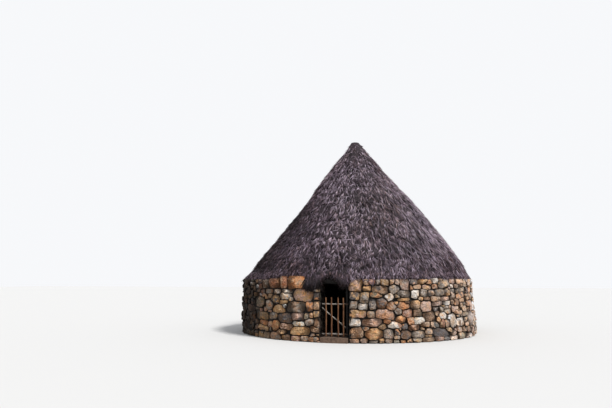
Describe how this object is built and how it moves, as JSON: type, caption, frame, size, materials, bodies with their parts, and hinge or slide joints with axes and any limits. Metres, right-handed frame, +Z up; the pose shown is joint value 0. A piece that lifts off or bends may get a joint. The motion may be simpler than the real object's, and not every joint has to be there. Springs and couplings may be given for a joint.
{
  "type": "round stone shepherd hut with thatched roof",
  "caption": "Round dry-stone hut with a conical brushwood roof on poles and a low doorway closed by a swinging picket gate.",
  "frame": {"origin": "centre of the ring wall, on the lowest ground that it stands on", "axes": "+Z up, -Y out through the middle of the doorway, +X towards the gate's post"},
  "size_m": [7.44, 7.4503, 6.2847],
  "materials": {
    "dry_stone": "rough weathered fieldstone, laid dry",
    "threshold_stone": "stone slab worn smooth by feet",
    "brushwood_thatch": "dark dry brushwood, matt and shaggy",
    "bark_pole": "round poles with the bark on",
    "hewn_lintel": "hewn juniper, weathered grey-brown",
    "picket_wood": "brown round sticks, worn smooth",
    "grey_rail_wood": "sun-bleached grey wood",
    "strap_leather": "old dark leather"
  },
  "bodies": {
    "root": {"wall_door_right": "dry_stone", "wall_right_front": "dry_stone", "wall_right": "dry_stone", "wall_right_rear": "dry_stone", "wall_rear_right": "dry_stone", "wall_rear_left": "dry_stone", "wall_left_rear": "dry_stone", "wall_left": "dry_stone", "wall_left_front": "dry_stone", "wall_door_left": "dry_stone", "threshold": "threshold_stone", "lintel_logs": "hewn_lintel", "thatch_course_1": "brushwood_thatch", "thatch_course_2": "brushwood_thatch", "thatch_course_3": "brushwood_thatch", "thatch_course_4": "brushwood_thatch", "thatch_course_5": "brushwood_thatch", "thatch_course_6": "brushwood_thatch", "thatch_cap": "brushwood_thatch", "door_fringe": "brushwood_thatch", "main_rafter_1": "bark_pole", "main_rafter_2": "bark_pole", "main_rafter_3": "bark_pole", "main_rafter_4": "bark_pole", "main_rafter_5": "bark_pole", "main_rafter_6": "bark_pole", "main_rafter_7": "bark_pole", "main_rafter_8": "bark_pole", "jack_rafters": "bark_pole", "lath_ring_1": "bark_pole", "lath_ring_2": "bark_pole", "lath_ring_3": "bark_pole", "lath_ring_4": "bark_pole", "lath_ring_5": "bark_pole", "gate_post": "hewn_lintel"},
    "gate": {"gate_strap_upper": "strap_leather", "gate_strap_lower": "strap_leather", "gate_rail_top": "grey_rail_wood", "gate_rail_bottom": "grey_rail_wood", "gate_picket_1": "picket_wood", "gate_picket_2": "picket_wood", "gate_picket_3": "picket_wood", "gate_picket_4": "picket_wood", "gate_brace": "grey_rail_wood"}
  },
  "joints": [
    {"name": "gate_swing", "type": "hinge", "parent": "root", "child": "gate", "pos_m": [0.33, -3.4847, 0], "axis": [0, 0, -1], "range_deg": [0, 85]}
  ]
}
